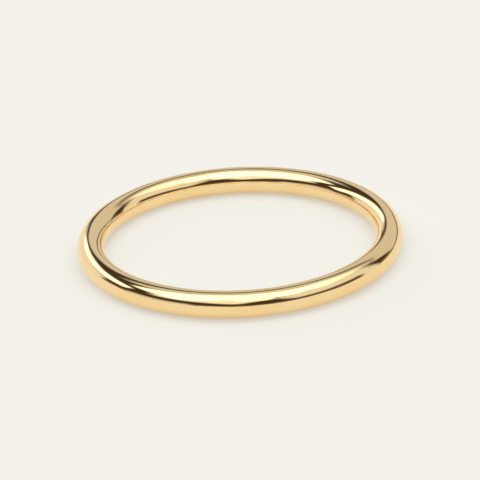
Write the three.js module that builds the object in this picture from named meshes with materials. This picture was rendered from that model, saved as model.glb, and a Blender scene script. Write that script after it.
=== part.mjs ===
// A plain stacking ring: one endless round wire, bent into a circle, soldered
// and polished. It lies on its side, with its finger hole along +Z, on the
// plane z = 0. Millimetres.
import * as THREE from "three";

// Driving dimensions.
const FINGER_DIAMETER = 17.3; // across the finger hole, a US size 7
const WIRE_DIAMETER = 1.75; // the round wire, so also the ring's height

// Facets. Both counts divide by four, so that the ring's four sides and the
// wire's top, bottom, inside and outside are all met exactly.
const FACETS_ROUND_WIRE = 24;
const FACETS_ROUND_RING = 96;

const wireRadius = WIRE_DIAMETER / 2;
const centrelineRadius = FINGER_DIAMETER / 2 + wireRadius;

// The wire's section, as (distance from the ring's axis, height) points. Each
// facet touches the true circle at its middle, so one facet lies flat on the
// plane z = 0 and the one above it is the flat that the next ring stacks on.
function wireSection() {
  const step = (2 * Math.PI) / FACETS_ROUND_WIRE;
  const cornerRadius = wireRadius / Math.cos(step / 2);
  const corners = [];
  for (let i = 0; i <= FACETS_ROUND_WIRE; i++) {
    const angle = ((i % FACETS_ROUND_WIRE) + 0.5) * step;
    corners.push(
      new THREE.Vector2(
        centrelineRadius + cornerRadius * Math.cos(angle),
        wireRadius + cornerRadius * Math.sin(angle),
      ),
    );
  }
  return corners;
}

// The section swept round the ring's axis. LatheGeometry turns about +Y, so the
// result is stood up to turn about +Z.
function bandGeometry() {
  const band = new THREE.LatheGeometry(wireSection(), FACETS_ROUND_RING);
  return band.rotateX(Math.PI / 2);
}

const yellowGold = new THREE.MeshStandardMaterial({
  name: "yellow_gold",
  color: new THREE.Color().setRGB(1.0, 0.75, 0.405),
  metalness: 1,
  roughness: 0.06,
});

const band = new THREE.Mesh(bandGeometry(), yellowGold);
band.name = "band";

const ring = new THREE.Group();
ring.name = "stacking_ring";
ring.add(band);

export default ring;
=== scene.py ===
"""A plain stacking ring of polished yellow gold, lying on its side on a pale studio floor.

The ring is one round wire closed in a circle. It stands for the CAD node "band" and takes its
sizes from that node's box. Lengths are in metres, and angles are in degrees unless a name or a
description says radians. Azimuth 0 is away from the camera, along +Y, and azimuth 90 is to its
right, along +X.
"""
import math

import bpy
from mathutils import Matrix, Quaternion, Vector


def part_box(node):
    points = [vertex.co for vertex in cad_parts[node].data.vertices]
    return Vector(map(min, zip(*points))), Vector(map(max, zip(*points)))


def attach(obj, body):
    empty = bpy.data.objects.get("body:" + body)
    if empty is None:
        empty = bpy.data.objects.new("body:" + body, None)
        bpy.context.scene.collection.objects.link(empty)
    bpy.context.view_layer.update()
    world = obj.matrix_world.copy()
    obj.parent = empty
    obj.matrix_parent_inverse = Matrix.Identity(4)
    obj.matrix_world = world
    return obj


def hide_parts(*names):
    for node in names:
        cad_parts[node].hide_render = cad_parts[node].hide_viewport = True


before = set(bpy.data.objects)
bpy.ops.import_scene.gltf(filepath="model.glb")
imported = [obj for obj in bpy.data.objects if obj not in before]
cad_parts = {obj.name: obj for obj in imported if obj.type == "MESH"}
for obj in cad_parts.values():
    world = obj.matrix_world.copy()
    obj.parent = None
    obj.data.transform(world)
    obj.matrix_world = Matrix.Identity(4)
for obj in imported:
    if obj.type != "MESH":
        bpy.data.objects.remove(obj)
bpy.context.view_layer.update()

# The ring's sizes, from its CAD node's box.
band_low, band_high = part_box("band")
OUTER_RADIUS = band_high.x
WIRE_RADIUS = (band_high.z - band_low.z) / 2
CENTRELINE_RADIUS = OUTER_RADIUS - WIRE_RADIUS

# The ring's mesh.
STEPS_ROUND_RING = 640
STEPS_ROUND_WIRE = 96

# What hand polishing leaves: shallow dips in a wire that is otherwise truly round. Whole turns,
# so that each wave meets itself.
POLISH_WAVES = (
    dict(turns_round_ring=5, turns_round_wire=1, depth=8.0e-6, phase_radians=0.3),
    dict(turns_round_ring=11, turns_round_wire=-2, depth=5.0e-6, phase_radians=1.9),
    dict(turns_round_ring=19, turns_round_wire=1, depth=3.0e-6, phase_radians=4.4),
)

# The noise patterns in the materials. A size or a width is that of the pattern's features, a
# detail is how many finer layers it has, and a span is the two noise values between which what
# it drives goes from one end to the other.
SOFT_DETAIL = 2.0
FINE_DETAIL = 3.0

# Polished 14 carat yellow gold: its tones, its haze, and the hairline marks that run along it.
GOLD_PALE = (1.0, 0.757, 0.427)
GOLD_DEEP = (1.0, 0.737, 0.377)
TONE_SIZE = 3.0e-3
TONE_SPAN = (0.35, 0.65)
CLEAN_ROUGHNESS = 0.045
HAZY_ROUGHNESS = 0.075
HAZE_SIZE = 1.2e-3
HAZE_SPAN = (0.35, 0.75)
HAIRLINE_WIDTH = 6.0e-5
HAIRLINE_STRETCH = 25
HAIRLINE_DEPTH = 1.2e-6
HAIRLINE_ROUGHNESS = 0.03
HAIRLINE_SPAN = (0.5, 0.8)

# Opal acrylic: cloudy, frosted, and glowing softly from below, so that shadows on it are light.
OPAL_PALE = (0.467, 0.463, 0.431)
OPAL_DEEP = (0.461, 0.457, 0.425)
OPAL_GLOW = (0.438, 0.430, 0.400)
OPAL_ROUGHNESS = 0.9
OPAL_SPECULAR = 0.1
CLOUD_SIZE = 6.0e-3
CLOUD_SPAN = (0.3, 0.7)
FROSTING_SIZE = 2.5e-4
FROSTING_DEPTH = 4.0e-6

# The studio floor: a round table that is level in the middle and rises to a rim all round,
# which hides the horizon from a low camera.
FLOOR_LEVEL_RADIUS = 0.40
FLOOR_RIM_RADIUS = 0.90
FLOOR_RIM_HEIGHT = 0.10
FLOOR_STEPS_UP = 24
FLOOR_STEPS_ROUND = 180

# The studio round the ring, which its metal mirrors: a dark room and the cards that stand in it.
# The floor's light glows on the room's walls, up to the first of two elevations in full, and it
# has faded out by the second.
ROOM_DARK = (0.06, 0.041, 0.025)
ROOM_GLOW = (0.30, 0.23, 0.16)
ROOM_GLOW_ELEVATION = 5
ROOM_DARK_ELEVATION = 18

# The cards face the ring. A card's middle is at its azimuth and elevation, turn rolls it
# clockwise as the ring sees it, and its width, height and soft edge are angles. Brightness 1
# shows as plain white.
STUDIO_CARDS = (
    # The softbox overhead, and the white panels round it.
    dict(azimuth=-144, elevation=80, turn=36, width=74, height=50, edge=7, brightness=1.85),
    dict(azimuth=172, elevation=58, turn=0, width=24, height=32, edge=12, brightness=1.5),
    dict(azimuth=-148, elevation=54, turn=-12, width=62, height=38, edge=12, brightness=1.05),
    dict(azimuth=80, elevation=60, turn=0, width=46, height=26, edge=14, brightness=1.4),
    dict(azimuth=16, elevation=61, turn=14, width=64, height=26, edge=12, brightness=0.67),
    # The strip light behind and to the left, and the wall below it.
    dict(azimuth=-50, elevation=29, turn=11, width=66, height=14, edge=7, brightness=1.8),
    dict(azimuth=-42, elevation=10, turn=0, width=54, height=26, edge=10, brightness=0.85),
    # The walls, behind, to the right and low at the left.
    dict(azimuth=24, elevation=26, turn=0, width=56, height=30, edge=8, brightness=0.67),
    dict(azimuth=108, elevation=40, turn=0, width=66, height=34, edge=12, brightness=0.84),
    dict(azimuth=80, elevation=14, turn=0, width=18, height=28, edge=8, brightness=0.84),
    dict(azimuth=-120, elevation=4, turn=0, width=50, height=24, edge=12, brightness=0.65),
)

# The camera. Its elevation is above the ring's plane, and its roll lifts the ring's right side
# in the picture.
CAMERA_ELEVATION = 24.5
CAMERA_ROLL = -3.1
LENS_MM = 300
SENSOR_MM = 36
RING_SHARE_OF_WIDTH = 0.68
CLIP_START = 0.01
CLIP_END = 5.0


def polish_dip(around, across):
    """How far the surface lies below the true round wire, at two angles in radians."""
    dip = 0
    for wave in POLISH_WAVES:
        angle = wave["turns_round_ring"] * around + wave["turns_round_wire"] * across
        dip += wave["depth"] * (1 + math.sin(angle + wave["phase_radians"])) / 2
    return dip


def ring_point(i, j):
    """The mesh point at step i round the ring and step j round the wire."""
    around = 2 * math.pi * i / STEPS_ROUND_RING
    across = 2 * math.pi * j / STEPS_ROUND_WIRE
    radius = WIRE_RADIUS - polish_dip(around, across)
    reach = CENTRELINE_RADIUS + radius * math.cos(across)
    height = WIRE_RADIUS + radius * math.sin(across)
    return (reach * math.cos(around), reach * math.sin(around), height)


def ring_faces():
    """Quads between the ring's points, which close on themselves round the ring and the wire."""
    faces = []
    for i in range(STEPS_ROUND_RING):
        here = i * STEPS_ROUND_WIRE
        ahead = (i + 1) % STEPS_ROUND_RING * STEPS_ROUND_WIRE
        for j in range(STEPS_ROUND_WIRE):
            next_j = (j + 1) % STEPS_ROUND_WIRE
            faces.append((here + j, ahead + j, ahead + next_j, here + next_j))
    return faces


def floor_point(i, j):
    """The mesh point at step i up the floor's rise and step j round it."""
    rise = i / FLOOR_STEPS_UP
    radius = FLOOR_LEVEL_RADIUS + rise * (FLOOR_RIM_RADIUS - FLOOR_LEVEL_RADIUS)
    angle = 2 * math.pi * j / FLOOR_STEPS_ROUND
    return (radius * math.cos(angle), radius * math.sin(angle), FLOOR_RIM_HEIGHT * rise**2)


def floor_faces():
    """Triangles round the floor's middle, which is point 0, and quads over its rise."""
    faces = []
    for j in range(FLOOR_STEPS_ROUND):
        next_j = (j + 1) % FLOOR_STEPS_ROUND
        faces.append((0, 1 + j, 1 + next_j))
        for i in range(FLOOR_STEPS_UP):
            inner = 1 + i * FLOOR_STEPS_ROUND
            outer = inner + FLOOR_STEPS_ROUND
            faces.append((inner + j, outer + j, outer + next_j, inner + next_j))
    return faces


def add_object(name, points, faces, material):
    """A smooth-shaded mesh object of these points and faces."""
    mesh = bpy.data.meshes.new(name)
    mesh.from_pydata(points, [], faces)
    mesh.shade_smooth()
    mesh.materials.append(material)
    made = bpy.data.objects.new(name, mesh)
    bpy.context.scene.collection.objects.link(made)
    return made


def join(tree, value, socket):
    """Links an output to an input, or sets a plain value on it."""
    if isinstance(value, bpy.types.NodeSocket):
        tree.links.new(value, socket)
    else:
        socket.default_value = value


def calculate(tree, operation, *values):
    """A Math node's result."""
    node = tree.nodes.new("ShaderNodeMath")
    node.operation = operation
    for socket, value in zip(node.inputs, values):
        join(tree, value, socket)
    return node.outputs["Value"]


def dot(tree, vector, axis):
    """How far a vector reaches along an axis."""
    node = tree.nodes.new("ShaderNodeVectorMath")
    node.operation = "DOT_PRODUCT"
    join(tree, vector, node.inputs[0])
    node.inputs[1].default_value = axis
    return node.outputs["Value"]


def brighter(tree, colour, light):
    """The brighter of a colour and a white light, in each of red, green and blue."""
    node = tree.nodes.new("ShaderNodeVectorMath")
    node.operation = "MAXIMUM"
    join(tree, colour, node.inputs[0])
    join(tree, light, node.inputs[1])
    return node.outputs["Vector"]


def ramp(tree, value, span, low=0.0, high=1.0):
    """low before a span's first value, high past its second, and a smooth change in between. A
    span that runs downwards is read from its larger value to its smaller one."""
    node = tree.nodes.new("ShaderNodeMapRange")
    node.interpolation_type = "SMOOTHSTEP"
    sockets = ("Value", "From Min", "From Max", "To Min", "To Max")
    for name, part in zip(sockets, (value, *span, low, high)):
        join(tree, part, node.inputs[name])
    return node.outputs["Result"]


def noise(tree, vector, size, detail, w=None):
    """A noise pattern from 0 to 1, in 3D, or in 4D where w is given."""
    node = tree.nodes.new("ShaderNodeTexNoise")
    node.noise_dimensions = "3D" if w is None else "4D"
    node.inputs["Scale"].default_value = 1 / size
    node.inputs["Detail"].default_value = detail
    join(tree, vector, node.inputs["Vector"])
    if w is not None:
        join(tree, w, node.inputs["W"])
    return node.outputs["Fac"]


def two_colours(tree, share, first, second):
    """first where share is 0 and second where it is 1."""
    node = tree.nodes.new("ShaderNodeMix")
    node.data_type = "RGBA"
    join(tree, share, node.inputs["Factor"])
    colours = [socket for socket in node.inputs if socket.type == "RGBA"]
    colours[0].default_value = (*first, 1)
    colours[1].default_value = (*second, 1)
    return next(socket for socket in node.outputs if socket.type == "RGBA")


def bump(tree, height, distance):
    """The normal of a surface that rises by distance where height is 1."""
    node = tree.nodes.new("ShaderNodeBump")
    node.inputs["Distance"].default_value = distance
    join(tree, height, node.inputs["Height"])
    return node.outputs["Normal"]


def new_material(name):
    """A new material, with its node tree and its Principled shader."""
    material = bpy.data.materials.new(name)
    material.use_nodes = True
    return material, material.node_tree, material.node_tree.nodes["Principled BSDF"]


def object_position(tree):
    """Each point's place on its object."""
    return tree.nodes.new("ShaderNodeTexCoord").outputs["Object"]


def along_the_wire(tree, position, stretch):
    """(vector, w) of a 4D pattern that is stretched along the ring's wire: it changes stretch
    times slower round the ring than across the wire, and has no seam."""
    parts = tree.nodes.new("ShaderNodeSeparateXYZ")
    join(tree, position, parts.inputs["Vector"])
    x, y, z = parts.outputs
    squares = [calculate(tree, "MULTIPLY", part, part) for part in (x, y)]
    reach = calculate(tree, "SQRT", calculate(tree, "ADD", *squares))
    stretched = tree.nodes.new("ShaderNodeCombineXYZ")
    join(tree, calculate(tree, "DIVIDE", x, stretch), stretched.inputs["X"])
    join(tree, calculate(tree, "DIVIDE", y, stretch), stretched.inputs["Y"])
    join(tree, z, stretched.inputs["Z"])
    return stretched.outputs["Vector"], reach


def gold_material():
    """Mirror-polished gold: a faint change of tone, a soft haze and hairline polishing marks."""
    material, tree, shader = new_material("polished_yellow_gold")
    position = object_position(tree)
    tone = ramp(tree, noise(tree, position, TONE_SIZE, SOFT_DETAIL), TONE_SPAN)
    join(tree, two_colours(tree, tone, GOLD_PALE, GOLD_DEEP), shader.inputs["Base Color"])
    shader.inputs["Metallic"].default_value = 1.0

    vector, w = along_the_wire(tree, position, HAIRLINE_STRETCH)
    hairlines = noise(tree, vector, HAIRLINE_WIDTH, FINE_DETAIL, w)
    haze = noise(tree, position, HAZE_SIZE, FINE_DETAIL)
    clean_or_hazy = ramp(tree, haze, HAZE_SPAN, CLEAN_ROUGHNESS, HAZY_ROUGHNESS)
    marked = ramp(tree, hairlines, HAIRLINE_SPAN, 0.0, HAIRLINE_ROUGHNESS)
    join(tree, calculate(tree, "ADD", clean_or_hazy, marked), shader.inputs["Roughness"])
    join(tree, bump(tree, hairlines, HAIRLINE_DEPTH), shader.inputs["Normal"])
    return material


def opal_material():
    """Frosted off-white acrylic, with a faint cloudiness and an even glow from below."""
    material, tree, shader = new_material("opal_acrylic")
    position = object_position(tree)
    cloud = ramp(tree, noise(tree, position, CLOUD_SIZE, SOFT_DETAIL), CLOUD_SPAN)
    join(tree, two_colours(tree, cloud, OPAL_PALE, OPAL_DEEP), shader.inputs["Base Color"])
    shader.inputs["Roughness"].default_value = OPAL_ROUGHNESS
    shader.inputs["Specular IOR Level"].default_value = OPAL_SPECULAR
    shader.inputs["Emission Color"].default_value = (*OPAL_GLOW, 1)
    shader.inputs["Emission Strength"].default_value = 1.0
    frosting = noise(tree, position, FROSTING_SIZE, FINE_DETAIL)
    join(tree, bump(tree, frosting, FROSTING_DEPTH), shader.inputs["Normal"])
    return material


def add_ring():
    """The whole ring, one smooth solid."""
    points = []
    for i in range(STEPS_ROUND_RING):
        points += [ring_point(i, j) for j in range(STEPS_ROUND_WIRE)]
    ring = add_object("gold_band", points, ring_faces(), gold_material())
    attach(ring, "root")
    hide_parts("band")


def add_floor():
    """The opal table under the ring."""
    points = [(0, 0, 0)]
    for i in range(FLOOR_STEPS_UP + 1):
        points += [floor_point(i, j) for j in range(FLOOR_STEPS_ROUND)]
    add_object("floor", points, floor_faces(), opal_material())


def card_axes(card):
    """The directions from the ring to a card's middle, and along its width and its height."""
    azimuth = math.radians(card["azimuth"])
    elevation = math.radians(card["elevation"])
    level = Vector((math.cos(azimuth), -math.sin(azimuth), 0))
    out = Vector((math.sin(azimuth), math.cos(azimuth), 0)) * math.cos(elevation)
    middle = out + Vector((0, 0, math.sin(elevation)))
    roll = Quaternion(middle, math.radians(card["turn"]))
    return middle, roll @ level, roll @ level.cross(middle)


def card_share(tree, direction, card):
    """1 where a direction meets the card and 0 elsewhere, with a soft edge."""
    middle, along_width, along_height = card_axes(card)
    ahead = dot(tree, direction, middle)
    half_edge = math.radians(card["edge"]) / 2
    shares = []
    for axis, size in ((along_width, "width"), (along_height, "height")):
        half = math.radians(card[size]) / 2
        off = calculate(tree, "ARCTAN2", dot(tree, direction, axis), ahead)
        off = calculate(tree, "ABSOLUTE", off)
        shares.append(ramp(tree, off, (half + half_edge, half - half_edge)))
    return calculate(tree, "MULTIPLY", *shares)


def room_colour(tree, direction):
    """The dark room behind the cards, with a glow from the floor low on its walls."""
    height = dot(tree, direction, (0, 0, 1))
    glow_height = math.sin(math.radians(ROOM_GLOW_ELEVATION))
    dark_height = math.sin(math.radians(ROOM_DARK_ELEVATION))
    darkness = ramp(tree, height, (glow_height, dark_height))
    return two_colours(tree, darkness, ROOM_GLOW, ROOM_DARK)


def add_studio():
    """The light from the studio's cards, as a world round the ring. Where cards cross, the
    brighter one shows."""
    world = bpy.data.worlds.new("studio")
    bpy.context.scene.world = world
    world.use_nodes = True
    tree = world.node_tree
    direction = tree.nodes.new("ShaderNodeTexCoord").outputs["Generated"]
    light = 0.0
    for card in STUDIO_CARDS:
        share = card_share(tree, direction, card)
        shown = calculate(tree, "MULTIPLY", share, card["brightness"])
        light = calculate(tree, "MAXIMUM", light, shown)
    seen = brighter(tree, room_colour(tree, direction), light)
    join(tree, seen, tree.nodes["Background"].inputs["Color"])


def add_camera():
    """A long lens that looks at the middle of the ring, from where the ring takes its share of
    the picture's width."""
    camera = bpy.data.objects.new("camera", bpy.data.cameras.new("camera"))
    camera.data.lens = LENS_MM
    camera.data.sensor_width = SENSOR_MM
    camera.data.clip_start = CLIP_START
    camera.data.clip_end = CLIP_END
    elevation = math.radians(CAMERA_ELEVATION)
    back = Vector((0, -math.cos(elevation), math.sin(elevation)))
    width_in_view = 2 * OUTER_RADIUS / RING_SHARE_OF_WIDTH
    distance = width_in_view * LENS_MM / SENSOR_MM
    camera.location = Vector((0, 0, WIRE_RADIUS)) + back * distance
    camera.rotation_mode = "QUATERNION"
    roll = Quaternion((0, 0, 1), math.radians(CAMERA_ROLL))
    camera.rotation_quaternion = (-back).to_track_quat("-Z", "Y") @ roll
    bpy.context.scene.collection.objects.link(camera)
    bpy.context.scene.camera = camera


# The picture shows the light as it falls, with no film-like curve.
bpy.context.scene.view_settings.view_transform = "Standard"
add_ring()
add_floor()
add_studio()
add_camera()
